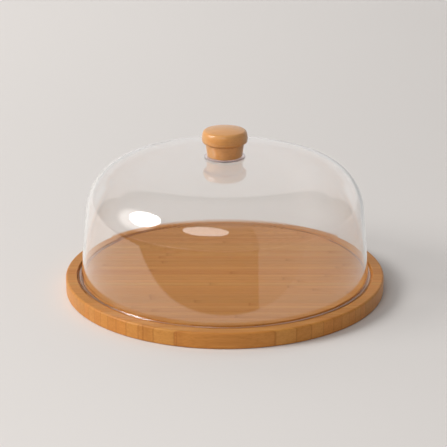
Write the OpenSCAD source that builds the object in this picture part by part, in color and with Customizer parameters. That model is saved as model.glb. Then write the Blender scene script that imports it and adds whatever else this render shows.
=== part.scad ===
// Cake stand with a clear lift-off dome: a round bamboo board with a ring groove, a clear
// drafted dome that stands in the groove, and a turned bamboo knob held by a screw from below.
// The origin is the centre of the board's underside, with +Z up. Every piece is turned about Z.

/* [Board] */
// Diameter of the board
board_d = 300; // [240:1:360]
// Thickness of the board
board_t = 15; // [12:0.5:25]
// Radius of the board's rounded top edge
board_top_round = 2; // [0.5:0.5:4]
// Radius of the board's rounded bottom edge
board_bottom_round = 1.5; // [0.5:0.5:4]
// Width of the flat rim outside the groove
rim_w = 10.5; // [6:0.5:20]
// Depth of the groove
groove_depth = 3.5; // [2:0.5:6]
// Small bevel on the groove's two top edges
groove_bevel = 0.5; // [0.2:0.1:1]

/* [Dome] */
// Height of the dome's crown above the board's top face
crown_rise = 112.2; // [90:0.2:150]
// Wall thickness of the dome
wall_t = 2.2; // [1.5:0.1:4]
// How far the wall leans inward on its way up, in degrees
wall_draft = 5.1; // [1:0.1:8]
// Outer radius of the shoulder between the wall and the crown
shoulder_r = 46; // [25:1:60]
// Radius of the nearly flat crown
crown_r = 620; // [400:10:1200]
// How far the foot ring stands out from the wall
foot_w = 1.7; // [1:0.1:3]
// Height of the foot ring
foot_h = 3; // [2:0.1:5]
// Size of the chamfer on the foot ring's two outer corners
foot_corner = 0.4; // [0.1:0.05:0.45]
// Gap between the foot ring and the groove's outer wall
foot_gap = 2; // [0.5:0.1:3]
// Gap between the dome's inner face and the groove's inner wall
foot_inner_gap = 1.1; // [0.5:0.1:3]
// How far the flat seat on the crown reaches past the gasket, and the spot face past the washer
seat_margin = 0.5; // [0.3:0.1:2]
// Depth of the spot face in the ceiling that the washer sits in
spot_depth = 0.3; // [0.2:0.05:0.5]

/* [Knob] */
// Height of the knob
knob_h = 26.5; // [22:0.1:36]
// Diameter of the knob's cap
cap_d = 42.4; // [36:0.2:60]
// Height of the cap, from its lower edge to its crown
cap_h = 13.7; // [10:0.1:18]
// Height of the cap's widest point above its lower edge
cap_belly_h = 4.5; // [3:0.1:7]
// Radius of the cap's barrel-shaped side
cap_side_r = 14; // [10:0.5:18]
// Radius of the cap's shallow domed top
cap_crown_r = 80; // [50:1:150]
// Radius of the rounding between the cap's top and its side
cap_top_round = 3.6; // [1:0.1:4]
// Radius of the rounding at the cap's lower edge
cap_bottom_round = 1.8; // [0.3:0.1:2]
// How far the cap stands out past the top of the neck
cap_overhang = 3.2; // [1.5:0.1:6]
// How much the neck's radius shrinks from the cap down to its foot
neck_taper = 1.8; // [0:0.1:4]
// Radius of the rounding at the neck's foot
neck_round = 0.8; // [0.3:0.1:2]

/* [Gasket] */
// How far the clear gasket stands out past the neck's foot
gasket_lip = 2.8; // [1:0.1:5]
// Thickness of the gasket
gasket_t = 1.6; // [0.8:0.1:3]

/* [Screw, washer and insert] */
// Diameter of the screw's thread
screw_d = 5; // [4:0.5:6]
// Length of the screw under its head
screw_l = 16; // [12:1:20]
// Diameter of the screw's pan head
screw_head_d = 9; // [7.5:0.1:12]
// Height of the screw's pan head
screw_head_h = 3.3; // [2.5:0.1:4]
// Radius of the rounding at the edge of the screw's pan head
screw_head_round = 1.9; // [1:0.1:2.2]
// Size of the chamfer at the screw's tip
screw_tip_chamfer = 0.5; // [0.2:0.1:0.8]
// Width of the cross recess in the screw's head, tip to tip
recess_w = 5; // [3:0.1:6]
// Depth of the cross recess
recess_depth = 1.8; // [1:0.1:2.5]
// Width of each slot of the cross recess
recess_slot = 0.9; // [0.6:0.1:1.4]
// Diameter of the washer
washer_d = 10; // [9:0.5:16]
// Thickness of the washer
washer_t = 1; // [0.8:0.1:2]
// Outer diameter of the brass insert
insert_d = 8; // [7:0.5:10]
// Length of the brass insert
insert_l = 13; // [10:0.5:16]
// Number of knurl slots around the insert
knurl_count = 18; // [12:1:24]
// Depth of each knurl slot
knurl_depth = 0.4; // [0.2:0.05:0.6]
// Radial gap between the screw's thread and the insert's bore
thread_gap = 0.05; // [0.01:0.01:0.1]
// Radial gap between the screw and the holes that it passes through
hole_gap = 0.25; // [0.15:0.05:0.5]
// Depth of the drilling past the insert and the screw's tip
drill_extra = 2; // [1:0.5:4]

/* [Hidden] */

$fn = 96;
eps = 0.01;
arc_step = 5;
crown_steps = 8;

bamboo_light = [0.80, 0.56, 0.33];
bamboo_dark = [0.72, 0.48, 0.27];
clear_plastic = [0.86, 0.91, 0.93, 0.35];
clear_silicone = [0.90, 0.90, 0.93, 0.6];
brass = [0.80, 0.65, 0.35];
steel = [0.72, 0.73, 0.75];

board_r = board_d / 2;
groove_outer_r = board_r - rim_w;
groove_floor = board_t - groove_depth;

// The dome's outer wall starts at the groove's floor and leans inward from there.
foot_outer_r = groove_outer_r - foot_gap;
wall_foot_r = foot_outer_r - foot_w;
groove_inner_r = wall_foot_r - wall_t / cos(wall_draft) - foot_inner_gap;
crown_z = board_t + crown_rise;
ceiling_z = crown_z - wall_t;

// The shoulder touches the wall and the crown, whose circle is centred on the axis.
crown_centre_z = crown_z - crown_r;
shoulder_reach = crown_r - shoulder_r;
wall_axis_offset = wall_foot_r * cos(wall_draft) + (groove_floor - crown_centre_z) * sin(wall_draft)
    - shoulder_r;
shoulder_angle = asin(wall_axis_offset / shoulder_reach) - wall_draft;
shoulder_x = shoulder_reach * sin(shoulder_angle);
shoulder_z = crown_centre_z + shoulder_reach * cos(shoulder_angle);

neck_top_r = cap_d / 2 - cap_overhang;
neck_foot_r = neck_top_r - neck_taper;
gasket_r = neck_foot_r + gasket_lip;

// The crown is cut flat just deep enough for the whole gasket to lie on the flat.
seat_r = gasket_r + seat_margin;
seat_z = crown_z - (crown_r - sqrt(crown_r * crown_r - seat_r * seat_r));

knob_z = seat_z + gasket_t;
knob_top_z = knob_z + knob_h;
cap_z = knob_top_z - cap_h;

// Centres and meeting angles of the arcs around the cap.
side_centre = [cap_d / 2 - cap_side_r, cap_z + cap_belly_h];
top_centre = [0, knob_top_z - cap_crown_r];
top_edge = meeting(top_centre, cap_crown_r - cap_top_round, side_centre, cap_side_r - cap_top_round);
top_angle = direction(top_centre, top_edge);
high_angle = direction(side_centre, top_edge);
low_angle = asin((cap_bottom_round - cap_belly_h) / (cap_side_r - cap_bottom_round));
low_edge = side_centre + (cap_side_r - cap_bottom_round) * [cos(low_angle), sin(low_angle)];

screw_r = screw_d / 2;
hole_r = screw_r + hole_gap;
insert_r = insert_d / 2;
thread_bore_r = screw_r + thread_gap;
washer_top_z = ceiling_z + spot_depth;
washer_z = washer_top_z - washer_t;
head_z = washer_z - screw_head_h;
screw_tip_z = washer_z + screw_l;
drill_top_z = max(knob_z + insert_l, screw_tip_z) + drill_extra;

// Points along an arc about [x, z], from angle a to angle b.
function arc(x, z, r, a, b) =
    let(steps = max(2, ceil(abs(b - a) / arc_step)))
    [for (i = [0:steps]) let(t = a + (b - a) * i / steps) [x + r * cos(t), z + r * sin(t)]];

// The direction from point p to point q.
function direction(p, q) = atan2(q[1] - p[1], q[0] - p[0]);

// The point at distance a from p and b from q, on the right of the way up from p to q.
function meeting(p, a, q, b) =
    let(d = norm(q - p), along = (a * a - b * b + d * d) / (2 * d), u = (q - p) / d)
    p + along * u + sqrt(a * a - along * along) * [u[1], -u[0]];

// One side of the dome's wall, from the foot to the axis, moved in by inset from the outer face.
function dome_side(inset) =
    concat(
        [[wall_foot_r - inset / cos(wall_draft), groove_floor]],
        arc(shoulder_x, shoulder_z, shoulder_r - inset, wall_draft, 90 - shoulder_angle),
        [for (i = [1:crown_steps]) let(t = shoulder_angle * (1 - i / crown_steps))
            [(crown_r - inset) * sin(t), crown_centre_z + (crown_r - inset) * cos(t)]]
    );

function reversed(points) = [for (i = [len(points) - 1:-1:0]) points[i]];

// A ring with a square section, between two radii.
module ring(outer_r, inner_r, z, h) {
    translate([0, 0, z])
        difference() {
            cylinder(r = outer_r, h = h);
            translate([0, 0, -eps])
                cylinder(r = inner_r, h = h + 2 * eps);
        }
}

module board_outline() {
    polygon(concat(
        [[0, 0]],
        arc(board_r - board_bottom_round, board_bottom_round, board_bottom_round, -90, 0),
        arc(board_r - board_top_round, board_t - board_top_round, board_top_round, 0, 90),
        [
            [groove_outer_r + groove_bevel, board_t],
            [groove_outer_r, board_t - groove_bevel],
            [groove_outer_r, groove_floor],
            [groove_inner_r, groove_floor],
            [groove_inner_r, board_t - groove_bevel],
            [groove_inner_r - groove_bevel, board_t],
            [0, board_t]
        ]
    ));
}

module board() {
    color(bamboo_dark)
        rotate_extrude()
            board_outline();
}

// The foot ring stands out from the wall all round, and its bottom rests on the groove's floor.
module dome_outline() {
    foot_top = groove_floor + foot_h;
    wall_at_foot_top = wall_foot_r - foot_h * tan(wall_draft);
    outer = dome_side(0);
    polygon(concat(
        [
            [foot_outer_r - foot_corner, groove_floor],
            [foot_outer_r, groove_floor + foot_corner],
            [foot_outer_r, foot_top - foot_corner],
            [foot_outer_r - foot_corner, foot_top],
            [wall_at_foot_top, foot_top]
        ],
        [for (i = [1:len(outer) - 1]) outer[i]],
        reversed(dome_side(wall_t))
    ));
}

module dome() {
    color(clear_plastic)
        difference() {
            rotate_extrude()
                dome_outline();
            translate([0, 0, seat_z])
                cylinder(r = seat_r + seat_margin, h = wall_t);
            translate([0, 0, washer_top_z - wall_t])
                cylinder(r = washer_d / 2 + seat_margin, h = wall_t);
            translate([0, 0, ceiling_z - wall_t])
                cylinder(r = hole_r, h = 3 * wall_t);
        }
}

module knob_gasket() {
    color(clear_silicone)
        ring(gasket_r, hole_r, seat_z, gasket_t);
}

// The neck tapers up to the cap, whose side, top and edges are arcs that touch each other.
module knob_outline() {
    polygon(concat(
        [[0, knob_z]],
        arc(neck_foot_r - neck_round, knob_z + neck_round, neck_round, -90, 0),
        [[neck_top_r, cap_z]],
        arc(low_edge[0], low_edge[1], cap_bottom_round, -90, low_angle),
        arc(side_centre[0], side_centre[1], cap_side_r, low_angle, high_angle),
        arc(top_edge[0], top_edge[1], cap_top_round, high_angle, top_angle),
        arc(0, top_centre[1], cap_crown_r, top_angle, 90)
    ));
}

module knob() {
    color(bamboo_light)
        difference() {
            rotate_extrude()
                knob_outline();
            translate([0, 0, knob_z - eps])
                cylinder(r = insert_r, h = insert_l + eps);
            translate([0, 0, knob_z - eps])
                cylinder(r = hole_r, h = drill_top_z - knob_z + eps);
        }
}

// Two knurled bands grip the wood, with a plain waist between them.
module knurl_slots(z, h) {
    for (i = [0:knurl_count - 1])
        rotate([0, 0, i * 360 / knurl_count])
            translate([insert_r - knurl_depth, -knurl_depth / 2, z])
                cube([2 * knurl_depth, knurl_depth, h]);
}

module knob_insert() {
    band = insert_l / 3;
    color(brass)
        difference() {
            ring(insert_r, thread_bore_r, knob_z, insert_l);
            ring(insert_r + eps, insert_r - knurl_depth, knob_z + band, band);
            knurl_slots(knob_z - eps, band + 2 * eps);
            knurl_slots(knob_z + 2 * band - eps, band + 2 * eps);
        }
}

module inner_washer() {
    color(steel)
        ring(washer_d / 2, hole_r, washer_z, washer_t);
}

module screw_head_outline() {
    head_r = screw_head_d / 2;
    polygon(concat(
        [[0, washer_z], [0, head_z]],
        arc(head_r - screw_head_round, head_z + screw_head_round, screw_head_round, -90, 0),
        [[head_r, washer_z]]
    ));
}

module knob_screw() {
    color(steel)
        difference() {
            union() {
                rotate_extrude()
                    screw_head_outline();
                translate([0, 0, washer_z - eps])
                    cylinder(r = screw_r, h = screw_l - screw_tip_chamfer + eps);
                translate([0, 0, screw_tip_z - screw_tip_chamfer])
                    cylinder(r1 = screw_r, r2 = screw_r - screw_tip_chamfer, h = screw_tip_chamfer);
            }
            for (turn = [0, 90])
                rotate([0, 0, turn])
                    translate([-recess_w / 2, -recess_slot / 2, head_z - eps])
                        cube([recess_w, recess_slot, recess_depth + eps]);
        }
}

board();
dome();
knob_gasket();
knob();
knob_insert();
inner_washer();
knob_screw();
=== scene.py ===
"""Cake stand with a clear lift-off dome: a grooved bamboo board, a clear moulded dome and a turned
bamboo knob that a screw holds from below. Every piece is turned about Z and measured in metres."""
import math

import bmesh
import bpy
from bpy.props import FloatProperty, FloatVectorProperty, IntProperty, PointerProperty
from bpy.types import Operator, Panel, PropertyGroup
from mathutils import Matrix, Vector


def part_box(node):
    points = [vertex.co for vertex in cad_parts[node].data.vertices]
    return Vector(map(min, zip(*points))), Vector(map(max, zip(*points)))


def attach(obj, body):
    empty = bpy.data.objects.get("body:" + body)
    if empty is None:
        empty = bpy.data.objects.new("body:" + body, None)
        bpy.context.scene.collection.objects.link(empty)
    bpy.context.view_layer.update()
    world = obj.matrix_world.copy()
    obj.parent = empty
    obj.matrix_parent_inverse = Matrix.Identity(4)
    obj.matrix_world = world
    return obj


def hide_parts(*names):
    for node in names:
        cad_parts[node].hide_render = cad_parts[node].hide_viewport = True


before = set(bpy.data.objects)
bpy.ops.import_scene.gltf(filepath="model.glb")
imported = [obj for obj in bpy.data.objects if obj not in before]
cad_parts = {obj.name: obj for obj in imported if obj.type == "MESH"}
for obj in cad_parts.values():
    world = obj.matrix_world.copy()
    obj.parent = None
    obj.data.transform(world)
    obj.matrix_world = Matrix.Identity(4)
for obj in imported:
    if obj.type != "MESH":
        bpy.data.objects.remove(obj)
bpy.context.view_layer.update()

bl_info = {
    "name": "Cake stand with dome",
    "version": (1, 0, 0),
    "blender": (4, 5, 0),
    "location": "View3D > Sidebar > Cake Stand",
    "description": "Builds a bamboo cake board with a clear dome and a turned knob",
    "category": "Add Mesh",
}

MM = 0.001
UP = Vector((0, 0, 1))
TOP = math.pi / 2
FULL_TURN = 2 * math.pi
MERGE = 1e-7
REST_GAP = 0.02 * MM

BOARD_LOW, BOARD_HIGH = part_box("board")
DOME_LOW, DOME_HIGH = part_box("dome")
GASKET_LOW, GASKET_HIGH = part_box("knob_gasket")
KNOB_LOW, KNOB_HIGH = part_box("knob")
INSERT_LOW, INSERT_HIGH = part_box("knob_insert")
WASHER_LOW, WASHER_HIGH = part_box("inner_washer")
SCREW_LOW, SCREW_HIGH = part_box("knob_screw")


def length(name, description, default):
    """A size in metres that a user may change."""
    return FloatProperty(
        name=name, description=description, default=default, min=0, unit="LENGTH", precision=5
    )


def angle(name, description, degrees):
    """An angle that a user may change."""
    return FloatProperty(
        name=name, description=description, default=math.radians(degrees), subtype="ANGLE"
    )


def colour(name, description, default):
    """A linear colour that a user may change."""
    return FloatVectorProperty(
        name=name, description=description, default=default, size=3, min=0, subtype="COLOR"
    )


def factor(name, description, default, high=1.0):
    """A plain number that a user may change."""
    return FloatProperty(name=name, description=description, default=default, min=0, max=high)


class BoardSettings(PropertyGroup):
    radius: length("Radius", "Radius of the board", BOARD_HIGH.x)
    thickness: length("Thickness", "Thickness of the board", BOARD_HIGH.z)
    top_round: length("Top rounding", "Rounding of the top edge", 2.0 * MM)
    bottom_round: length("Bottom rounding", "Rounding of the bottom edge", 1.5 * MM)
    rim: length("Rim", "Width of the flat rim outside the groove", 10.5 * MM)
    groove_inner: length("Groove inner radius", "Radius of the groove's inner wall", 132.49 * MM)
    groove_depth: length("Groove depth", "Depth of the groove", 3.5 * MM)
    groove_bevel: length("Groove bevel", "Softened edge at both groove walls", 0.5 * MM)
    floor_round: length("Groove corner", "Rounding at the groove's floor", 0.4 * MM)
    strip: length("Strip width", "Width of one bamboo strip", 7.0 * MM)
    light: colour("Light wood", "Lightest tone of the strips", (0.615, 0.284, 0.064))
    dark: colour("Dark wood", "Darkest tone of the strips", (0.485, 0.192, 0.035))
    roughness: factor("Roughness", "Roughness of the oiled face", 0.46)


class DomeSettings(PropertyGroup):
    foot: length("Foot radius", "Outer radius of the foot ring", DOME_HIGH.x)
    foot_width: length("Foot width", "How far the foot ring stands out from the wall", 1.7 * MM)
    foot_height: length("Foot height", "Height of the foot ring", 3.0 * MM)
    foot_round: length("Foot rounding", "Rounding of the foot ring's corners", 0.45 * MM)
    wall: length("Wall", "Thickness of the clear wall", 2.2 * MM)
    draft: angle("Draft", "How far the wall leans inward on its way up", 5.1)
    crown: length("Crown height", "Height of the crown on the axis", 127.2 * MM)
    crown_radius: length("Crown radius", "Radius of the nearly flat crown", 620 * MM)
    shoulder: length("Shoulder radius", "Outer radius of the shoulder", 46 * MM)
    hole: length("Hole radius", "Radius of the hole for the screw", 2.75 * MM)
    spot: length("Spot face radius", "Radius of the spot face under the washer", 5.5 * MM)
    refraction: factor("Refractive index", "Refractive index of the clear plastic", 1.54, 3.0)
    tint: colour("Tint", "Colour of light that passes through", (0.985, 0.99, 0.99))


class KnobSettings(PropertyGroup):
    cap: length("Cap radius", "Largest radius of the cap", KNOB_HIGH.x)
    cap_height: length("Cap height", "Height of the cap, lower edge to crown", 13.7 * MM)
    belly: length("Belly height", "Height of the widest point above the lower edge", 4.5 * MM)
    side: length("Side radius", "Radius of the barrel-shaped side", 14 * MM)
    crown: length("Crown radius", "Radius of the shallow domed top", 80 * MM)
    top_round: length("Top rounding", "Rounding between the top and the side", 3.6 * MM)
    low_round: length("Lower rounding", "Rounding at the cap's lower edge", 1.8 * MM)
    overhang: length("Overhang", "How far the cap stands out past the neck", 3.2 * MM)
    taper: length("Neck taper", "How much the neck narrows down to its foot", 1.8 * MM)
    foot_round: length("Foot rounding", "Rounding at the neck's foot", 0.8 * MM)
    strip: length("Strip width", "Width of one bamboo strip", 9.0 * MM)
    light: colour("Light wood", "Lightest tone of the strips", (0.74, 0.398, 0.136))
    dark: colour("Dark wood", "Darkest tone of the strips", (0.61, 0.290, 0.085))
    roughness: factor("Roughness", "Roughness under the lacquer", 0.45)
    lacquer: factor("Lacquer", "Strength of the clear lacquer", 0.6)


class GasketSettings(PropertyGroup):
    radius: length("Radius", "Outer radius of the gasket", GASKET_HIGH.x)
    rounding: length("Rounding", "Rounding of the gasket's edges", 0.5 * MM)
    tint: colour("Tint", "Colour of the clear soft plastic", (0.93, 0.90, 0.94))
    roughness: factor("Roughness", "Roughness of the moulded face", 0.1)


class HardwareSettings(PropertyGroup):
    pitch: length("Pitch", "Height of one turn of the thread", 0.8 * MM)
    crest: length("Thread radius", "Radius of the screw's thread", 2.5 * MM)
    depth: length("Thread depth", "Depth of the screw's thread", 0.46 * MM)
    play: length("Play", "Radial gap between the two threads", 0.05 * MM)
    head_round: length("Head rounding", "Rounding of the pan head", 1.9 * MM)
    recess: length("Recess width", "Width of the cross recess, tip to tip", 5.0 * MM)
    recess_depth: length("Recess depth", "Depth of the cross recess", 1.8 * MM)
    recess_slot: length("Slot width", "Width of each slot of the cross recess", 0.9 * MM)
    washer_round: length("Washer rounding", "Rounding of the washer's edges", 0.15 * MM)
    knurls: IntProperty(name="Knurls", description="Slots round the insert", default=18, min=6)
    knurl: length("Knurl depth", "Depth of each knurl slot", 0.4 * MM)
    steel: colour("Steel", "Colour of the stainless steel", (0.56, 0.57, 0.58))
    brass: colour("Brass", "Colour of the brass", (0.72, 0.50, 0.20))


class StageSettings(PropertyGroup):
    floor: colour("Floor", "Colour of the plain floor", (0.80, 0.776, 0.757))
    key: factor("Key light", "Brightness of the key light", 10.4, 100)
    fill: factor("Ambient light", "Brightness of the light all round", 0.28, 10)
    back: factor("Back light", "Brightness of the soft light over the far floor", 1.3, 20)
    lamp: factor("Lamp", "Brightness of the round lamp in front", 2.8, 50)
    # The near edge and the four values after it set painted reflections: what the dome mirrors of the
    # floor and the air is painted, and only reflected rays see it
    near_edge: length("Near edge", "How far the pale floor reaches in front", 0.245)
    screen: factor("Screen", "Brightness of the screen on the right", 0.47, 20)
    backdrop: factor("Backdrop", "Brightness of the backdrop in the dome's reflection", 0.76, 20)
    ceiling: factor("Ceiling", "Brightness of the ceiling in the dome's reflection", 0.54, 20)
    dusk: factor("Dark room", "Brightness of the dark room in front", 0.17, 1)


GROUPS = {
    "cake_board": BoardSettings,
    "cake_dome": DomeSettings,
    "cake_knob": KnobSettings,
    "cake_gasket": GasketSettings,
    "cake_hardware": HardwareSettings,
    "cake_stage": StageSettings,
}


# Turned shapes


def draw_outline(bm, start, path):
    """Draws a turned outline in the XZ plane, from the start along lines and arcs.
    A line is (x, z); an arc is (centre x, centre z, angle, steps)."""
    tip = bm.verts.new((start[0], 0, start[1]))
    for step in path:
        if len(step) == 2:
            made = bmesh.ops.extrude_vert_indiv(bm, verts=[tip])
            tip = made["verts"][0]
            tip.co = (step[0], 0, step[1])
        else:
            centre_x, centre_z, sweep, count = step
            made = bmesh.ops.spin(
                bm,
                geom=[tip],
                cent=(centre_x, 0, centre_z),
                axis=(0, -1, 0),
                angle=sweep,
                steps=count,
                use_merge=False,
                use_duplicate=False,
            )
            tip = next(v for v in made["geom_last"] if isinstance(v, bmesh.types.BMVert))
    bmesh.ops.remove_doubles(bm, verts=bm.verts[:], dist=MERGE)


def round_corners(bm, corners):
    """Rounds the outline's corners: a list of (x, z, how far back the rounding starts, steps)."""
    for x, z, reach, steps in corners:
        corner = min(bm.verts, key=lambda v: (v.co - Vector((x, 0, z))).length)
        bmesh.ops.bevel(
            bm,
            geom=[corner],
            offset=reach,
            offset_type="OFFSET",
            segments=steps,
            profile=0.5,
            affect="VERTICES",
            material=-1,
        )


def hold_flats(bm, near=0.25 * MM):
    """Puts points beside the ends of long straight runs, so that smooth shading keeps them flat."""
    for edge in [e for e in bm.edges if e.calc_length() > 4 * near]:
        first, last = edge.verts
        for end, other in ((first, last), (last, first)):
            edge = min(end.link_edges, key=lambda e: (e.other_vert(end).co - other.co).length)
            run = (edge.other_vert(end).co - end.co).length
            bmesh.utils.edge_split(edge, end, near / run)


def turn(bm, segments):
    """Turns the outline once round Z and closes the surface."""
    hold_flats(bm)
    bmesh.ops.spin(
        bm,
        geom=bm.verts[:] + bm.edges[:],
        cent=(0, 0, 0),
        axis=UP,
        angle=FULL_TURN,
        steps=segments,
        use_merge=True,
        use_duplicate=False,
    )
    tidy(bm)


def tidy(bm):
    """Merges doubles and turns every face outwards."""
    bmesh.ops.remove_doubles(bm, verts=bm.verts[:], dist=MERGE)
    bmesh.ops.dissolve_degenerate(bm, dist=MERGE, edges=bm.edges[:])
    bmesh.ops.recalc_face_normals(bm, faces=bm.faces[:])


def finish_piece(bm, name, body, material, sharp=30):
    """Makes the object and says which body it rides on."""
    mesh = bpy.data.meshes.new(name)
    bm.to_mesh(mesh)
    bm.free()
    mesh.shade_smooth()
    mesh.set_sharp_from_angle(angle=math.radians(sharp))
    mesh.materials.append(material)
    piece = bpy.data.objects.new(name, mesh)
    bpy.context.scene.collection.objects.link(piece)
    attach(piece, body)
    return piece


# Shader helpers


def new_material(name):
    """An empty node material with its Principled shader and its output."""
    material = bpy.data.materials.new(name)
    material.use_nodes = True
    tree = material.node_tree
    tree.nodes.clear()
    shader = tree.nodes.new("ShaderNodeBsdfPrincipled")
    output = tree.nodes.new("ShaderNodeOutputMaterial")
    tree.links.new(shader.outputs["BSDF"], output.inputs["Surface"])
    return material, tree, shader, output


def put(tree, socket, value):
    """Feeds a socket from another socket, or sets it to a plain value."""
    if isinstance(value, bpy.types.NodeSocket):
        tree.links.new(value, socket)
    elif value is not None:
        socket.default_value = value


def math_node(tree, operation, a, b=None, c=None, clamp=False):
    """One Math node; returns its value."""
    node = tree.nodes.new("ShaderNodeMath")
    node.operation = operation
    node.use_clamp = clamp
    for socket, value in zip(node.inputs, (a, b, c)):
        put(tree, socket, value)
    return node.outputs[0]


def ramp(tree, value, low, high, to_low=0.0, to_high=1.0, smooth=True):
    """A clamped Map Range between two values."""
    node = tree.nodes.new("ShaderNodeMapRange")
    node.interpolation_type = "SMOOTHSTEP" if smooth else "LINEAR"
    for name, given in (
        ("Value", value),
        ("From Min", low),
        ("From Max", high),
        ("To Min", to_low),
        ("To Max", to_high),
    ):
        put(tree, node.inputs[name], given)
    return node.outputs["Result"]


def blend_colours(tree, mask, a, b, mode="MIX"):
    """Mixes two colours by a mask."""
    node = tree.nodes.new("ShaderNodeMix")
    node.data_type = "RGBA"
    node.blend_type = mode
    put(tree, node.inputs["Factor"], mask)
    for socket, value in ((node.inputs[6], a), (node.inputs[7], b)):
        if not isinstance(value, bpy.types.NodeSocket):
            value = (*value, 1.0)
        put(tree, socket, value)
    return node.outputs[2]


def noise(tree, vector, scale, detail=2.0, roughness=0.5):
    """A 3D noise texture; returns its value."""
    node = tree.nodes.new("ShaderNodeTexNoise")
    put(tree, node.inputs["Vector"], vector)
    node.inputs["Scale"].default_value = scale
    node.inputs["Detail"].default_value = detail
    node.inputs["Roughness"].default_value = roughness
    return node.outputs["Fac"]


def stretch(tree, along, y, z, share, fine):
    """Coordinates that run slowly along the strip and finely across it."""
    node = tree.nodes.new("ShaderNodeCombineXYZ")
    for socket, value, times in zip(node.inputs, (along, y, z), (share, fine, fine)):
        put(tree, socket, math_node(tree, "MULTIPLY", value, times))
    return node.outputs[0]


def bump(tree, shader, height, distance):
    """A Bump node into the shader's normal."""
    node = tree.nodes.new("ShaderNodeBump")
    node.inputs["Strength"].default_value = 1.0
    node.inputs["Distance"].default_value = distance
    tree.links.new(height, node.inputs["Height"])
    tree.links.new(node.outputs["Normal"], shader.inputs["Normal"])


def object_space(tree, move=(0, 0, 0)):
    """Object coordinates through a Mapping node."""
    where = tree.nodes.new("ShaderNodeTexCoord")
    place = tree.nodes.new("ShaderNodeMapping")
    place.inputs["Location"].default_value = move
    tree.links.new(where.outputs["Object"], place.inputs["Vector"])
    return place.outputs["Vector"]


def new_group(name, inputs, outputs):
    """An empty shader node group with its named sockets."""
    tree = bpy.data.node_groups.new(name, "ShaderNodeTree")
    for label, kind, default in inputs:
        socket = tree.interface.new_socket(name=label, in_out="INPUT", socket_type=kind)
        if default is not None:
            socket.default_value = default
    for label, kind in outputs:
        tree.interface.new_socket(name=label, in_out="OUTPUT", socket_type=kind)
    return tree, tree.nodes.new("NodeGroupInput"), tree.nodes.new("NodeGroupOutput")


def place_group(tree, group, **values):
    """Places a node group in a material with its own values."""
    node = tree.nodes.new("ShaderNodeGroup")
    node.node_tree = group
    for label, value in values.items():
        put(tree, node.inputs[label.replace("_", " ")], value)
    return node.outputs


FLOAT, VECTOR, COLOUR = "NodeSocketFloat", "NodeSocketVector", "NodeSocketColor"


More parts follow.
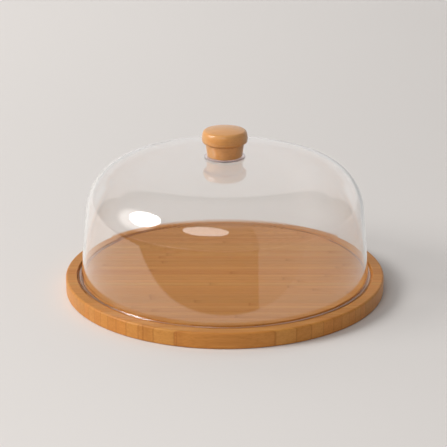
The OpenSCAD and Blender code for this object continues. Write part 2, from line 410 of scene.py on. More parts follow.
def bamboo_group():
    """Bamboo strips glued side by side. X runs along the strips and Y across them."""
    name = "bamboo strips"
    if name in bpy.data.node_groups:
        return bpy.data.node_groups[name]
    tree, given, made = new_group(
        name,
        (
            ("Vector", VECTOR, None),
            ("Strip", FLOAT, 0.007),
            ("Layer", FLOAT, 0.030),
            ("Knot Spacing", FLOAT, 0.23),
            ("Seed", FLOAT, 0.0),
            ("Light", COLOUR, (0.6, 0.3, 0.1, 1)),
            ("Dark", COLOUR, (0.4, 0.15, 0.05, 1)),
            ("Contrast", FLOAT, 1.0),
            ("Seams", FLOAT, 0.5),
        ),
        (("Color", COLOUR), ("Height", FLOAT), ("Dryness", FLOAT)),
    )
    split = tree.nodes.new("ShaderNodeSeparateXYZ")
    tree.links.new(given.outputs["Vector"], split.inputs[0])
    x, y, z = split.outputs
    across = math_node(tree, "DIVIDE", y, given.outputs["Strip"])
    column = math_node(tree, "FLOOR", across)
    through = math_node(tree, "DIVIDE", z, given.outputs["Layer"])
    row = math_node(tree, "FLOOR", through)
    index = math_node(tree, "MULTIPLY_ADD", row, 37.0, column)
    index = math_node(tree, "ADD", index, given.outputs["Seed"])
    chance = tree.nodes.new("ShaderNodeTexWhiteNoise")
    chance.noise_dimensions = "1D"
    tree.links.new(index, chance.inputs["W"])
    picks = tree.nodes.new("ShaderNodeSeparateColor")
    tree.links.new(chance.outputs["Color"], picks.inputs[0])
    strip_tone, strip_shift, strip_hue = picks.outputs

    # Fibres: long fine streaks, offset from strip to strip
    shifted = math_node(tree, "MULTIPLY_ADD", strip_shift, 3.0, x)
    fibres = noise(tree, stretch(tree, shifted, y, z, 5.0, 620.0), 1.0, 4.0, 0.62)
    bands = noise(tree, stretch(tree, shifted, y, z, 2.2, 150.0), 1.0, 2.0, 0.5)

    # Pores: short dark dashes along the strip, dots where the fibres end
    cells = tree.nodes.new("ShaderNodeTexVoronoi")
    cells.inputs["Scale"].default_value = 1.0
    tree.links.new(stretch(tree, shifted, y, z, 55.0, 1150.0), cells.inputs["Vector"])
    pores = ramp(tree, cells.outputs["Distance"], 0.42, 0.16)

    # Knots: one thin ring line across the strip, with a darker zone beside it
    wobble = math_node(tree, "MULTIPLY_ADD", fibres, 0.0022, x)
    along = math_node(tree, "DIVIDE", wobble, given.outputs["Knot Spacing"])
    along = math_node(tree, "ADD", along, math_node(tree, "MULTIPLY", strip_tone, 7.31))
    part = math_node(tree, "SUBTRACT", math_node(tree, "FRACT", along), 0.5)
    reach = math_node(tree, "MULTIPLY", part, given.outputs["Knot Spacing"])
    line = ramp(tree, math_node(tree, "ABSOLUTE", reach), 0.0012, 0.0002)
    zone_at = math_node(tree, "ABSOLUTE", math_node(tree, "SUBTRACT", reach, 0.0025))
    zone = ramp(tree, zone_at, 0.0060, 0.0005)

    # Glue lines between the strips
    inside = math_node(tree, "FRACT", across)
    edge = math_node(tree, "MINIMUM", inside, math_node(tree, "SUBTRACT", 1.0, inside))
    edge = math_node(tree, "MULTIPLY", edge, given.outputs["Strip"])
    seam = ramp(tree, edge, 0.00045, 0.00010)

    tone = math_node(tree, "MULTIPLY", strip_tone, 0.36)
    tone = math_node(tree, "MULTIPLY_ADD", ramp(tree, fibres, 0.30, 0.72), 0.44, tone)
    tone = math_node(tree, "MULTIPLY_ADD", ramp(tree, bands, 0.32, 0.70), 0.20, tone)
    tone = math_node(tree, "SUBTRACT", tone, 0.5)
    tone = math_node(tree, "MULTIPLY_ADD", tone, given.outputs["Contrast"], 0.5, clamp=True)
    wood = blend_colours(tree, tone, given.outputs["Light"], given.outputs["Dark"])
    red = blend_colours(tree, 1.0, wood, (1.06, 0.93, 0.84), "MULTIPLY")
    wood = blend_colours(tree, math_node(tree, "MULTIPLY", strip_hue, 0.8), wood, red)
    brown = blend_colours(tree, 1.0, wood, (0.66, 0.55, 0.46), "MULTIPLY")
    marks = math_node(tree, "MULTIPLY", pores, 0.30)
    marks = math_node(tree, "MAXIMUM", marks, math_node(tree, "MULTIPLY", zone, 0.22))
    marks = math_node(tree, "MAXIMUM", marks, math_node(tree, "MULTIPLY", line, 0.62))
    marks = math_node(tree, "MAXIMUM", marks, math_node(tree, "MULTIPLY", seam, given.outputs["Seams"]))
    tree.links.new(blend_colours(tree, marks, wood, brown), made.inputs["Color"])

    height = math_node(tree, "MULTIPLY", fibres, 0.5)
    height = math_node(tree, "SUBTRACT", height, math_node(tree, "MULTIPLY", pores, 0.30))
    height = math_node(tree, "SUBTRACT", height, math_node(tree, "MULTIPLY", seam, 0.60))
    tree.links.new(height, made.inputs["Height"])
    dryness = math_node(tree, "MULTIPLY_ADD", fibres, 0.6, math_node(tree, "MULTIPLY", marks, 0.5))
    tree.links.new(dryness, made.inputs["Dryness"])
    return tree


def bamboo_material(name, settings, knots, seed, contrast, seams, relief, move, coat=0.0):
    """Bamboo with its strips along X, oiled or under lacquer."""
    material, tree, shader, _ = new_material(name)
    grain = place_group(
        tree,
        bamboo_group(),
        Vector=object_space(tree, move),
        Strip=settings.strip,
        Knot_Spacing=knots,
        Seed=seed,
        Light=(*settings.light, 1),
        Dark=(*settings.dark, 1),
        Contrast=contrast,
        Seams=seams,
    )
    tree.links.new(grain["Color"], shader.inputs["Base Color"])
    rough = settings.roughness
    tree.links.new(
        ramp(tree, grain["Dryness"], 0.0, 1.0, rough - 0.08, rough + 0.16, smooth=False),
        shader.inputs["Roughness"],
    )
    bump(tree, shader, grain["Height"], relief)
    shader.inputs["Specular IOR Level"].default_value = 0.3
    shader.inputs["Coat Weight"].default_value = coat
    shader.inputs["Coat Roughness"].default_value = 0.07
    shader.inputs["Coat IOR"].default_value = 1.5
    return material


def clear_material(name, tint, refraction, roughness, ripple, ripple_scale, shadow, milky=0.0):
    """Clear moulded plastic that lets light straight through to what stands under it."""
    material, tree, shader, output = new_material(name)
    shader.inputs["Base Color"].default_value = (*tint, 1)
    shader.inputs["Transmission Weight"].default_value = 1.0 - milky
    shader.inputs["IOR"].default_value = refraction
    shader.inputs["Metallic"].default_value = 0.0
    wave = noise(tree, object_space(tree), ripple_scale, 1.0)
    tree.links.new(
        ramp(tree, wave, 0.2, 0.8, roughness, roughness + 0.012, smooth=False),
        shader.inputs["Roughness"],
    )
    bump(tree, shader, wave, ripple)
    through = tree.nodes.new("ShaderNodeBsdfTransparent")
    rim = tree.nodes.new("ShaderNodeLayerWeight")
    rim.inputs["Blend"].default_value = 0.35
    shade = blend_colours(tree, rim.outputs["Facing"], (0.985,) * 3, (shadow,) * 3)
    tree.links.new(shade, through.inputs["Color"])
    path = tree.nodes.new("ShaderNodeLightPath")
    passing = math_node(
        tree, "MAXIMUM", path.outputs["Is Shadow Ray"], path.outputs["Is Diffuse Ray"]
    )
    mix = tree.nodes.new("ShaderNodeMixShader")
    tree.links.new(passing, mix.inputs["Fac"])
    tree.links.new(shader.outputs["BSDF"], mix.inputs[1])
    tree.links.new(through.outputs["BSDF"], mix.inputs[2])
    tree.links.new(mix.outputs["Shader"], output.inputs["Surface"])
    return material


def metal_group():
    """Tool marks that run round the axis, with small stains."""
    name = "turned metal"
    if name in bpy.data.node_groups:
        return bpy.data.node_groups[name]
    tree, given, made = new_group(
        name,
        (("Vector", VECTOR, None), ("Marks", FLOAT, 9000.0)),
        (("Marks", FLOAT), ("Stain", FLOAT)),
    )
    split = tree.nodes.new("ShaderNodeSeparateXYZ")
    tree.links.new(given.outputs["Vector"], split.inputs[0])
    x, y, z = split.outputs
    reach = math_node(tree, "ADD", math_node(tree, "POWER", x, 2.0), math_node(tree, "POWER", y, 2.0))
    reach = math_node(tree, "SQRT", reach)
    at = tree.nodes.new("ShaderNodeCombineXYZ")
    put(tree, at.inputs[0], math_node(tree, "MULTIPLY", reach, given.outputs["Marks"]))
    put(tree, at.inputs[1], math_node(tree, "MULTIPLY", z, given.outputs["Marks"]))
    tree.links.new(noise(tree, at.outputs[0], 1.0, 2.0, 0.6), made.inputs["Marks"])
    tree.links.new(noise(tree, given.outputs["Vector"], 420.0, 3.0, 0.6), made.inputs["Stain"])
    return tree


def metal_material(name, base, roughness, marks):
    """Turned metal with a soft brushed look."""
    material, tree, shader, _ = new_material(name)
    surface = place_group(tree, metal_group(), Vector=object_space(tree), Marks=marks)
    dull = tuple(0.72 * c for c in base)
    stain = ramp(tree, surface["Stain"], 0.45, 0.75)
    tree.links.new(
        blend_colours(tree, math_node(tree, "MULTIPLY", stain, 0.5), tuple(base), dull),
        shader.inputs["Base Color"],
    )
    shader.inputs["Metallic"].default_value = 1.0
    tree.links.new(
        ramp(tree, surface["Marks"], 0.3, 0.7, roughness - 0.07, roughness + 0.09),
        shader.inputs["Roughness"],
    )
    bump(tree, shader, surface["Marks"], 0.00001)
    return material


# Threads


def threaded_tube(bm, crest, root, pitch, low, high, per_turn=40):
    """A helical thread between two flat cuts. The phase is the same for the screw and the insert."""
    first = math.floor(low / pitch) - 1
    turns = math.ceil(high / pitch) - first + 1
    start = first * pitch
    outline = (
        (root, -0.125),
        (root, 0.125),
        (crest, 0.4375),
        (crest, 0.5625),
        (root, 0.875),
    )
    verts = [bm.verts.new((r, 0, start + share * pitch)) for r, share in outline]
    edges = [bm.edges.new(pair) for pair in zip(verts, verts[1:])]
    bmesh.ops.spin(
        bm,
        geom=verts + edges,
        cent=(0, 0, 0),
        axis=UP,
        dvec=(0, 0, pitch / per_turn),
        angle=FULL_TURN * turns,
        steps=per_turn * turns,
        use_merge=False,
        use_duplicate=False,
    )
    bmesh.ops.remove_doubles(bm, verts=bm.verts[:], dist=2e-6)
    for height, cut_low in ((low, True), (high, False)):
        bmesh.ops.bisect_plane(
            bm,
            geom=bm.verts[:] + bm.edges[:] + bm.faces[:],
            dist=1e-8,
            plane_co=(0, 0, height),
            plane_no=UP,
            clear_inner=cut_low,
            clear_outer=not cut_low,
        )


def open_loop(bm, height):
    """The open edges at one height."""
    return [
        e
        for e in bm.edges
        if e.is_boundary and all(abs(v.co.z - height) < 1e-6 for v in e.verts)
    ]


def carry_loop(bm, loop, radius, height):
    """Extrudes an open loop to a new radius and height."""
    made = bmesh.ops.extrude_edge_only(bm, edges=loop)["geom"]
    for v in made:
        if isinstance(v, bmesh.types.BMVert):
            out = Vector((v.co.x, v.co.y, 0)).normalized()
            v.co = out * radius
            v.co.z = height
    return [e for e in made if isinstance(e, bmesh.types.BMEdge) and e.is_boundary]


def cut_away(bm, cutter):
    """Cuts one closed shape out of another, and returns the result."""
    parts = []
    for label, source in (("stock", bm), ("cutter", cutter)):
        mesh = bpy.data.meshes.new(label)
        source.to_mesh(mesh)
        source.free()
        part = bpy.data.objects.new(label, mesh)
        bpy.context.scene.collection.objects.link(part)
        parts.append(part)
    stock, tool = parts
    modifier = stock.modifiers.new("cut", "BOOLEAN")
    modifier.operation = "DIFFERENCE"
    modifier.solver = "EXACT"
    modifier.object = tool
    shown = stock.evaluated_get(bpy.context.evaluated_depsgraph_get())
    result = bmesh.new()
    result.from_mesh(shown.to_mesh())
    shown.to_mesh_clear()
    for part in parts:
        mesh = part.data
        bpy.data.objects.remove(part)
        bpy.data.meshes.remove(mesh)
    return result


# Operators


class CAKESTAND_OT_board(Operator):
    """Build the grooved bamboo board"""

    bl_idname = "cake_stand.board"
    bl_label = "Build board"

    def execute(self, context):
        s = context.scene.cake_board
        r = s.radius
        top = s.thickness
        groove_outer = r - s.rim
        floor = top - s.groove_depth
        bm = bmesh.new()
        draw_outline(
            bm,
            (0, 0),
            [
                (r, 0),
                (r, top),
                (groove_outer, top),
                (groove_outer, floor),
                (s.groove_inner, floor),
                (s.groove_inner, top),
                (0, top),
            ],
        )
        round_corners(
            bm,
            [
                (r, 0, s.bottom_round, 6),
                (r, top, s.top_round, 8),
                (groove_outer, top, s.groove_bevel, 4),
                (groove_outer, floor, s.floor_round, 3),
                (s.groove_inner, floor, s.floor_round, 3),
                (s.groove_inner, top, s.groove_bevel, 4),
            ],
        )
        turn(bm, 192)
        wood = bamboo_material(
            "board bamboo",
            s,
            knots=0.23,
            seed=3.0,
            contrast=1.0,
            seams=0.55,
            relief=0.00008,
            move=(0, 0.5 * s.strip, 0.005),
        )
        piece = finish_piece(bm, "cake_board", "board", wood)
        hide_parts("board")
        return {"FINISHED"}


class CAKESTAND_OT_dome(Operator):
    """Build the clear dome with its foot ring"""

    bl_idname = "cake_stand.dome"
    bl_label = "Build dome"

    def execute(self, context):
        s = context.scene.cake_dome
        floor = DOME_LOW.z + REST_GAP
        draft = s.draft
        wall_foot = s.foot - s.foot_width
        crown_centre = s.crown - s.crown_radius
        reach = s.crown_radius - s.shoulder
        offset = wall_foot * math.cos(draft) + (DOME_LOW.z - crown_centre) * math.sin(draft)
        lean = math.asin((offset - s.shoulder) / reach) - draft
        shoulder_x = reach * math.sin(lean)
        shoulder_z = crown_centre + reach * math.cos(lean)
        seat = DOME_HIGH.z
        seat_edge = math.sqrt(s.crown_radius**2 - (seat - crown_centre) ** 2)
        inner_crown = s.crown_radius - s.wall
        spot_face = WASHER_HIGH.z + REST_GAP
        ceiling = crown_centre + math.sqrt(inner_crown**2 - s.spot**2)
        slope = math.tan(draft)
        foot_top = DOME_LOW.z + s.foot_height

        wall_top = (
            shoulder_x + s.shoulder * math.cos(draft),
            shoulder_z + s.shoulder * math.sin(draft),
        )
        inner_foot = wall_foot - s.wall / math.cos(draft)
        seat_turn = math.acos(seat_edge / s.crown_radius)
        spot_turn = math.acos(s.spot / inner_crown)
        meet_turn = TOP - lean
        bm = bmesh.new()
        draw_outline(
            bm,
            (inner_foot, floor),
            [
                (s.foot, floor),
                (s.foot, foot_top),
                (wall_foot - s.foot_height * slope, foot_top),
                wall_top,
                (shoulder_x, shoulder_z, meet_turn - draft, 56),
                (0, crown_centre, seat_turn - meet_turn, 14),
                (s.hole, seat),
                (s.hole, spot_face),
                (s.spot, spot_face),
                (s.spot, ceiling),
                (0, crown_centre, meet_turn - spot_turn, 18),
                (shoulder_x, shoulder_z, draft - meet_turn, 56),
                (inner_foot, floor),
            ],
        )
        round_corners(
            bm,
            [
                (s.foot, floor, s.foot_round, 4),
                (s.foot, foot_top, s.foot_round, 4),
                (wall_foot - s.foot_height * slope, foot_top, s.foot_round, 4),
                (inner_foot, floor, s.foot_round, 4),
            ],
        )
        turn(bm, 192)
        clear = clear_material(
            "dome clear plastic",
            s.tint,
            s.refraction,
            roughness=0.0,
            ripple=0.00007,
            ripple_scale=13.0,
            shadow=0.80,
        )
        piece = finish_piece(bm, "clear_dome", "dome", clear)
        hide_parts("dome")
        return {"FINISHED"}


class CAKESTAND_OT_gasket(Operator):
    """Build the clear gasket under the knob"""

    bl_idname = "cake_stand.gasket"
    bl_label = "Build gasket"

    def execute(self, context):
        s = context.scene.cake_gasket
        hole = context.scene.cake_dome.hole
        low, high = GASKET_LOW.z + REST_GAP, GASKET_HIGH.z - REST_GAP
        corners = [(s.radius, low), (s.radius, high), (hole, high), (hole, low)]
        bm = bmesh.new()
        draw_outline(bm, (hole, low), corners)
        round_corners(bm, [(x, z, s.rounding, 5) for x, z in corners])
        turn(bm, 128)
        clear = clear_material(
            "gasket clear soft plastic",
            s.tint,
            refraction=1.41,
            roughness=s.roughness,
            ripple=0.00003,
            ripple_scale=260.0,
            shadow=0.75,
            milky=0.15,
        )
        piece = finish_piece(bm, "knob_gasket_ring", "gasket", clear)
        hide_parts("knob_gasket")
        return {"FINISHED"}


class CAKESTAND_OT_knob(Operator):
    """Build the turned and lacquered knob"""

    bl_idname = "cake_stand.knob"
    bl_label = "Build knob"

    def execute(self, context):
        s = context.scene.cake_knob
        hole = context.scene.cake_dome.hole
        foot, top = KNOB_LOW.z, KNOB_HIGH.z
        cap_low = top - s.cap_height
        neck_top = s.cap - s.overhang
        neck_foot = neck_top - s.taper
        side = Vector((s.cap - s.side, cap_low + s.belly))
        crown = Vector((0, top - s.crown))

        # The top rounding touches the crown from inside and the side from inside.
        a, b = s.crown - s.top_round, s.side - s.top_round
        between = side - crown
        d = between.length
        along = (a * a - b * b + d * d) / (2 * d)
        unit = between / d
        off = math.sqrt(a * a - along * along)
        edge = crown + along * unit + off * Vector((unit.y, -unit.x))
        top_turn = math.atan2((edge - crown).y, (edge - crown).x)
        high_turn = math.atan2((edge - side).y, (edge - side).x)
        low_turn = math.asin((s.low_round - s.belly) / (s.side - s.low_round))
        low_edge = side + (s.side - s.low_round) * Vector((math.cos(low_turn), math.sin(low_turn)))
        bore = INSERT_HIGH.x
        drill = max(INSERT_HIGH.z, SCREW_HIGH.z) + 2 * MM
        bm = bmesh.new()
        draw_outline(
            bm,
            (0, top),
            [
                (crown.x, crown.y, top_turn - TOP, 10),
                (edge.x, edge.y, high_turn - top_turn, 8),
                (side.x, side.y, low_turn - high_turn, 16),
                (low_edge.x, low_edge.y, -TOP - low_turn, 8),
                (neck_top, cap_low),
                (neck_foot, foot),
                (bore, foot),
                (bore, INSERT_HIGH.z),
                (hole, INSERT_HIGH.z),
                (hole, drill),
                (0, drill),
            ],
        )
        round_corners(
            bm, [(neck_foot, foot, s.foot_round, 5), (neck_top, cap_low, 0.35 * MM, 3)]
        )
        turn(bm, 128)
        wood = bamboo_material(
            "knob lacquered bamboo",
            s,
            knots=0.6,
            seed=71.0,
            contrast=0.75,
            seams=0.15,
            relief=0.00004,
            move=(0.02, 0.5 * s.strip, 0),
            coat=s.lacquer,
        )
        piece = finish_piece(bm, "turned_knob", "dome", wood)
        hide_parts("knob")
        return {"FINISHED"}


class CAKESTAND_OT_hardware(Operator):
    """Build the screw, its washer and the brass insert"""

    bl_idname = "cake_stand.hardware"
    bl_label = "Build hardware"

    def execute(self, context):
        s = context.scene.cake_hardware
        steel = metal_material("stainless steel", s.steel, roughness=0.27, marks=9000.0)
        brass = metal_material("knurled brass", s.brass, roughness=0.30, marks=7000.0)
        self.build_screw(s, steel)
        self.build_washer(context, s, steel)
        self.build_insert(s, brass)
        return {"FINISHED"}

    def build_screw(self, s, steel):
        seat = WASHER_LOW.z
        head_low = SCREW_LOW.z
        head = SCREW_HIGH.x
        tip = SCREW_HIGH.z
        root = s.crest - s.depth
        lead = 0.5 * MM
        bm = bmesh.new()
        threaded_tube(bm, s.crest, root, s.pitch, seat + lead, tip - lead)
        upper = open_loop(bm, tip - lead)
        lower = open_loop(bm, seat + lead)
        upper = carry_loop(bm, upper, root - 0.1 * MM, tip - 0.4 * lead)
        upper = carry_loop(bm, upper, root - lead, tip)
        bmesh.ops.holes_fill(bm, edges=upper, sides=0)
        lower = carry_loop(bm, lower, s.crest - 0.1 * MM, seat)
        lower = carry_loop(bm, lower, head - 0.15 * MM, seat - REST_GAP)
        lower = carry_loop(bm, lower, head, seat - REST_GAP - 0.15 * MM)
        flat = head - s.head_round
        for i in range(9):
            turned = TOP * i / 8
            reach = flat + s.head_round * math.cos(turned)
            depth = s.head_round * (1 - math.sin(turned))
            lower = carry_loop(bm, lower, reach, head_low + depth)
        bmesh.ops.holes_fill(bm, edges=lower, sides=0)
        tidy(bm)
        for quarter in (0, 1):
            cutter = bmesh.new()
            bmesh.ops.create_cube(cutter, size=1.0)
            for v in cutter.verts:
                deep = v.co.z > 0
                v.co.x *= s.recess * (0.5 if deep else 1.04)
                v.co.y *= s.recess_slot * (0.75 if deep else 1.04)
                v.co.z = head_low + (s.recess_depth if deep else -0.2 * MM)
            turned = Matrix.Rotation(quarter * TOP, 3, "Z")
            bmesh.ops.rotate(cutter, verts=cutter.verts[:], cent=(0, 0, 0), matrix=turned)
            bm = cut_away(bm, cutter)
        point = bmesh.new()
        bmesh.ops.create_cone(
            point,
            cap_ends=True,
            segments=24,
            radius1=0.34 * s.recess,
            radius2=0.09 * s.recess,
            depth=s.recess_depth + 0.4 * MM,
        )
        bmesh.ops.translate(
            point, verts=point.verts[:], vec=(0, 0, head_low + 0.5 * s.recess_depth)
        )
        bm = cut_away(bm, point)
        tidy(bm)
        piece = finish_piece(bm, "pan_head_screw", "screw", steel)
        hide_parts("knob_screw")

    def build_washer(self, context, s, steel):
        hole = context.scene.cake_dome.hole
        low, high = WASHER_LOW.z, WASHER_HIGH.z - REST_GAP
        outer = WASHER_HIGH.x
        corners = [(outer, low), (outer, high), (hole, high), (hole, low)]
        bm = bmesh.new()
        draw_outline(bm, (hole, low), corners)
        round_corners(bm, [(x, z, s.washer_round, 3) for x, z in corners])
        turn(bm, 64)
        piece = finish_piece(bm, "flat_washer", "washer", steel)
        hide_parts("inner_washer")

    def build_insert(self, s, brass):
        low, high = INSERT_LOW.z, INSERT_HIGH.z
        outer = INSERT_HIGH.x
        lead = 0.4 * MM
        crest = s.crest + s.play
        bm = bmesh.new()
        threaded_tube(bm, crest, crest - s.depth, s.pitch, low + lead, high - lead)
        bores = [
            carry_loop(bm, open_loop(bm, low + lead), crest, low),
            carry_loop(bm, open_loop(bm, high - lead), crest, high),
        ]
        per_slot = 4
        ring = bmesh.ops.create_circle(
            bm, cap_ends=False, radius=outer, segments=per_slot * s.knurls
        )["verts"]
        for v in ring:
            v.co.z = low
        slots = [v for i, v in enumerate(ring) if i % per_slot in (0, 1)]
        step = (high - low) / 3
        chamfer = 0.3 * MM
        loop = [e for e in bm.edges if all(v in ring for v in e.verts)]
        first = loop
        slotted = {round(math.atan2(v.co.y, v.co.x), 3) for v in slots}
        rings = (
            (low + chamfer, outer, True),
            (low + step - chamfer, outer, True),
            (low + step, outer - s.knurl, False),
            (low + 2 * step, outer - s.knurl, False),
            (low + 2 * step + chamfer, outer, True),
            (high - chamfer, outer, True),
            (high, outer - s.knurl, False),
        )
        for v in ring:
            v.co.xy = v.co.xy.normalized() * (outer - s.knurl)
        for height, reach, knurled in rings:
            loop = carry_loop(bm, loop, reach, height)
            if knurled:
                for v in {v for e in loop for v in e.verts}:
                    if round(math.atan2(v.co.y, v.co.x), 3) in slotted:
                        v.co.xy = v.co.xy.normalized() * (reach - s.knurl)
        bmesh.ops.bridge_loops(bm, edges=bores[0] + first)
        bmesh.ops.bridge_loops(bm, edges=bores[1] + loop)
        tidy(bm)
        piece = finish_piece(bm, "knurled_insert", "dome", brass)
        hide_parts("knob_insert")


# Directions of the key light and of the painted highlight glow round it in the dome
KEY_FROM = Vector((-0.803, -0.145, 0.560)).normalized()
PAINTED_HALO_FROM = Vector((-0.860, -0.060, 0.460)).normalized()
KEY_AWAY = 4.4
KEY_WIDTH = 2.1
PAINTED_KEY_HALO = (3.0, 2.9, 2.8)
LAMP_PLACE = (-0.37, -1.21, 1.04)
LAMP_SIZE = (0.95, 0.53)
BACK_LIGHT_PLACE = (-0.8, 1.6, 1.6)
BACK_LIGHT_TARGET = (-0.8, 1.6, 0)
BACK_LIGHT_SIZE = (3.0, 1.0)
LIGHT_TONE = (1.0, 0.975, 0.955)
LIT_POINT = Vector((0, 0, 0.08))

# The floor fades to a flat tone far out, so that it meets the air with no edge.
FLOOR_HALF = 3.0
FADE_START, FADE_END = 1.2, 2.3
FAR_SHARE = 0.92

# What the dome mirrors of the floor is painted: a bowed near edge on the left, a slanted painted screen
# on the right
BOW_START = -0.17
BOW = 0.5
SCREEN_SLANT = 0.4986
SCREEN_SHIFT = 0.036

# What the dome mirrors of the air is painted: the painted backdrop's side lean and the painted screen's
# edge
BACKDROP_LEAN = 1.28
SCREEN_LEAN = 0.51


def reflected(tree):
    """1 for rays that a shiny surface has reflected, and 0 for the rest."""
    path = tree.nodes.new("ShaderNodeLightPath")
    return math_node(tree, "GREATER_THAN", path.outputs["Glossy Depth"], 0.5)


def soft_panel(name, centre, target, width, height, radiance, tone, disc=False):
    """A soft area light that the camera doesn't see."""
    data = bpy.data.lights.new(name, "AREA")
    data.shape = "ELLIPSE" if disc else "RECTANGLE"
    data.size = width
    data.size_y = height
    data.energy = radiance * math.pi * width * height
    data.color = tone
    panel = bpy.data.objects.new(name, data)
    panel.location = centre
    panel.rotation_euler = (Vector(target) - Vector(centre)).to_track_quat("-Z", "Y").to_euler()
    panel.visible_camera = False
    bpy.context.scene.collection.objects.link(panel)
    return panel


class CAKESTAND_OT_stage(Operator):
    """Set up the floor, the lights and the camera"""

    bl_idname = "cake_stand.stage"
    bl_label = "Set up stage"

    def execute(self, context):
        s = context.scene.cake_stage
        self.lay_floor(s)
        self.set_air(context, s)
        self.hang_lights(s)
        self.place_camera(context)
        context.scene.view_settings.view_transform = "Standard"
        context.scene.view_settings.look = "None"
        return {"FINISHED"}

    def lay_floor(self, s):
        bm = bmesh.new()
        bmesh.ops.create_grid(bm, x_segments=1, y_segments=1, size=FLOOR_HALF)
        bmesh.ops.translate(bm, verts=bm.verts[:], vec=(0, 0, BOARD_LOW.z - 0.1 * MM))
        mesh = bpy.data.meshes.new("floor")
        bm.to_mesh(mesh)
        bm.free()
        material, tree, shader, output = new_material("floor paper")
        shader.inputs["Base Color"].default_value = (*s.floor, 1)
        shader.inputs["Roughness"].default_value = 0.9
        shader.inputs["Specular IOR Level"].default_value = 0.0
        where = tree.nodes.new("ShaderNodeTexCoord")
        split = tree.nodes.new("ShaderNodeSeparateXYZ")
        tree.links.new(where.outputs["Object"], split.inputs[0])
        x, y, _ = split.outputs
        # Painted reflection: past a near edge that bows on the left, reflected rays see the painted
        # dark room or screen, not the floor
        left = math_node(tree, "SUBTRACT", BOW_START, x)
        left = math_node(tree, "MAXIMUM", left, 0.0)
        bow = math_node(tree, "MULTIPLY", math_node(tree, "POWER", left, 2.0), BOW)
        ahead = math_node(tree, "SUBTRACT", math_node(tree, "SUBTRACT", bow, s.near_edge), y)
        beyond = ramp(tree, ahead, -0.004, 0.006)
        aside = math_node(tree, "ADD", x, SCREEN_SHIFT)
        aside = math_node(tree, "MULTIPLY_ADD", y, SCREEN_SLANT, aside)
        screen = ramp(tree, aside, -0.003, 0.003)
        # Painted reflection: the dark room, and the screen past the slanted line, glow for reflected
        # rays only
        painted_floor_reflection = tree.nodes.new("ShaderNodeEmission")
        tree.links.new(
            blend_colours(tree, screen, (0.1 * s.dusk,) * 3, (s.screen,) * 3), painted_floor_reflection.inputs["Color"]
        )
        mix = tree.nodes.new("ShaderNodeMixShader")
        # Painted shade: on the right, reflected rays see up to 85% of the painted dark room and screen
        # instead of the lit floor
        painted_right_shade = ramp(tree, x, 0.05, 0.35, 0.0, 0.85)
        painted = math_node(tree, "MAXIMUM", beyond, painted_right_shade)
        tree.links.new(math_node(tree, "MULTIPLY", reflected(tree), painted), mix.inputs["Fac"])
        tree.links.new(shader.outputs["BSDF"], mix.inputs[1])
        tree.links.new(painted_floor_reflection.outputs["Emission"], mix.inputs[2])
        far = tree.nodes.new("ShaderNodeEmission")
        far.inputs["Color"].default_value = (*(FAR_SHARE * c for c in s.floor), 1)
        reach = tree.nodes.new("ShaderNodeVectorMath")
        reach.operation = "LENGTH"
        tree.links.new(where.outputs["Object"], reach.inputs[0])
        fade = tree.nodes.new("ShaderNodeMixShader")
        tree.links.new(ramp(tree, reach.outputs["Value"], FADE_START, FADE_END), fade.inputs["Fac"])
        tree.links.new(mix.outputs["Shader"], fade.inputs[1])
        tree.links.new(far.outputs["Emission"], fade.inputs[2])
        tree.links.new(fade.outputs["Shader"], output.inputs["Surface"])
        mesh.materials.append(material)
        floor = bpy.data.objects.new("floor", mesh)
        bpy.context.scene.collection.objects.link(floor)

    def set_air(self, context, s):
        world = bpy.data.worlds.new("studio air")
        context.scene.world = world
        world.use_nodes = True
        tree = world.node_tree
        air = tree.nodes["Background"]
        where = tree.nodes.new("ShaderNodeTexCoord")
        split = tree.nodes.new("ShaderNodeSeparateXYZ")
        tree.links.new(where.outputs["Generated"], split.inputs[0])
        x, y, z = split.outputs
        # For reflected rays the air is a painted reflection: a backdrop, a ceiling, a dark room in
        # front and a screen on the right
        sides = math_node(tree, "MULTIPLY", y, BACKDROP_LEAN)
        sides = math_node(tree, "SUBTRACT", sides, math_node(tree, "ABSOLUTE", x))
        upper = math_node(tree, "SUBTRACT", y, z)
        wall = math_node(tree, "MINIMUM", sides, upper)
        low_ceiling = tuple(0.50 * s.ceiling * c for c in (0.97, 1.0, 0.97))
        ceiling = blend_colours(tree, ramp(tree, wall, -0.9, 0.0), (s.ceiling,) * 3, low_ceiling)
        back = tuple(s.backdrop * c for c in (1.0, 0.965, 0.95))
        painted_reflection = blend_colours(tree, ramp(tree, wall, -0.05, 0.05), ceiling, back)
        front = ramp(tree, math_node(tree, "MULTIPLY", y, -1.0), 0.05, 0.12)
        front = math_node(tree, "MULTIPLY", front, ramp(tree, z, 0.84, 0.66))
        right = ramp(tree, math_node(tree, "MULTIPLY_ADD", y, SCREEN_LEAN, x), -0.015, 0.015)
        ahead = blend_colours(tree, right, (s.dusk,) * 3, (s.screen,) * 3)
        painted_reflection = blend_colours(tree, front, painted_reflection, ahead)
        towards = tree.nodes.new("ShaderNodeVectorMath")
        towards.operation = "DOT_PRODUCT"
        tree.links.new(where.outputs["Generated"], towards.inputs[0])
        towards.inputs[1].default_value = PAINTED_HALO_FROM
        # Painted highlight: a soft glow round the key light's reflection, seen by reflected rays only
        painted_halo = ramp(tree, towards.outputs["Value"], 0.93, 0.985)
        painted_reflection = blend_colours(tree, painted_halo, painted_reflection, PAINTED_KEY_HALO)
        path = tree.nodes.new("ShaderNodeLightPath")
        glossy = reflected(tree)
        through = math_node(tree, "SUBTRACT", path.outputs["Is Transmission Ray"], glossy)
        seen = math_node(tree, "MAXIMUM", path.outputs["Is Camera Ray"], through)
        bright, dim = (
            tuple(s.fill * share * c for c in (1.0, 0.985, 0.97)) for share in (1.25, 0.7)
        )
        ambient = blend_colours(tree, ramp(tree, x, -0.8, 0.8), bright, dim)
        direct = blend_colours(tree, seen, ambient, tuple(FAR_SHARE * c for c in s.floor))
        tree.links.new(blend_colours(tree, glossy, direct, painted_reflection), air.inputs["Color"])

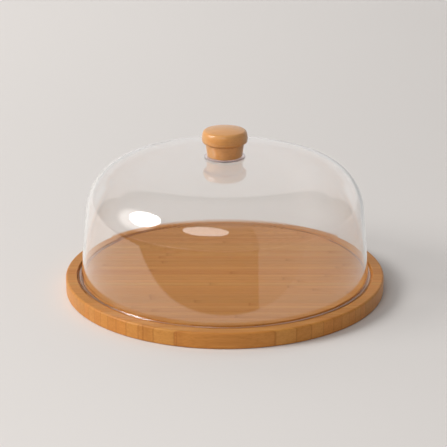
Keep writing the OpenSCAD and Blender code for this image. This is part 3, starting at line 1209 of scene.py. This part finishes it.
    def hang_lights(self, s):
        key = LIT_POINT + KEY_AWAY * KEY_FROM
        soft_panel("key", key, LIT_POINT, KEY_WIDTH, KEY_WIDTH, s.key, LIGHT_TONE, disc=True)
        soft_panel("lamp", LAMP_PLACE, LIT_POINT, *LAMP_SIZE, s.lamp, LIGHT_TONE, disc=True)
        back = soft_panel(
            "back light", BACK_LIGHT_PLACE, BACK_LIGHT_TARGET, *BACK_LIGHT_SIZE, s.back, LIGHT_TONE
        )
        back.visible_glossy = False
        back.visible_transmission = False

    def place_camera(self, context):
        data = bpy.data.cameras.new("camera")
        data.lens = 126.13
        data.sensor_width = 36.0
        data.shift_x = -0.002
        camera = bpy.data.objects.new("camera", data)
        camera.location = (-0.0004, -1.3837, 0.5532)
        camera.rotation_euler = (math.radians(70.45), 0, 0)
        context.scene.collection.objects.link(camera)
        context.scene.camera = camera


class VIEW3D_PT_cake_stand(Panel):
    """Sizes, finishes and build buttons of the cake stand"""

    bl_label = "Cake Stand"
    bl_space_type = "VIEW_3D"
    bl_region_type = "UI"
    bl_category = "Cake Stand"

    def draw(self, context):
        for builder in BUILDERS:
            self.layout.operator(builder.bl_idname)
        for name in GROUPS:
            settings = getattr(context.scene, name)
            box = self.layout.box()
            box.label(text=name.replace("_", " ").capitalize())
            for prop in settings.bl_rna.properties:
                if prop.identifier in settings.__annotations__:
                    box.prop(settings, prop.identifier)


BUILDERS = (
    CAKESTAND_OT_board,
    CAKESTAND_OT_dome,
    CAKESTAND_OT_gasket,
    CAKESTAND_OT_knob,
    CAKESTAND_OT_hardware,
    CAKESTAND_OT_stage,
)
CLASSES = (*GROUPS.values(), *BUILDERS, VIEW3D_PT_cake_stand)


def register():
    for cls in CLASSES:
        bpy.utils.register_class(cls)
    for name, group in GROUPS.items():
        setattr(bpy.types.Scene, name, PointerProperty(type=group))


def unregister():
    for name in GROUPS:
        delattr(bpy.types.Scene, name)
    for cls in reversed(CLASSES):
        bpy.utils.unregister_class(cls)


def main():
    """Builds every piece and the stage."""
    register()
    bpy.ops.cake_stand.board()
    bpy.ops.cake_stand.dome()
    bpy.ops.cake_stand.gasket()
    bpy.ops.cake_stand.knob()
    bpy.ops.cake_stand.hardware()
    bpy.ops.cake_stand.stage()


if __name__ == "__main__":
    main()
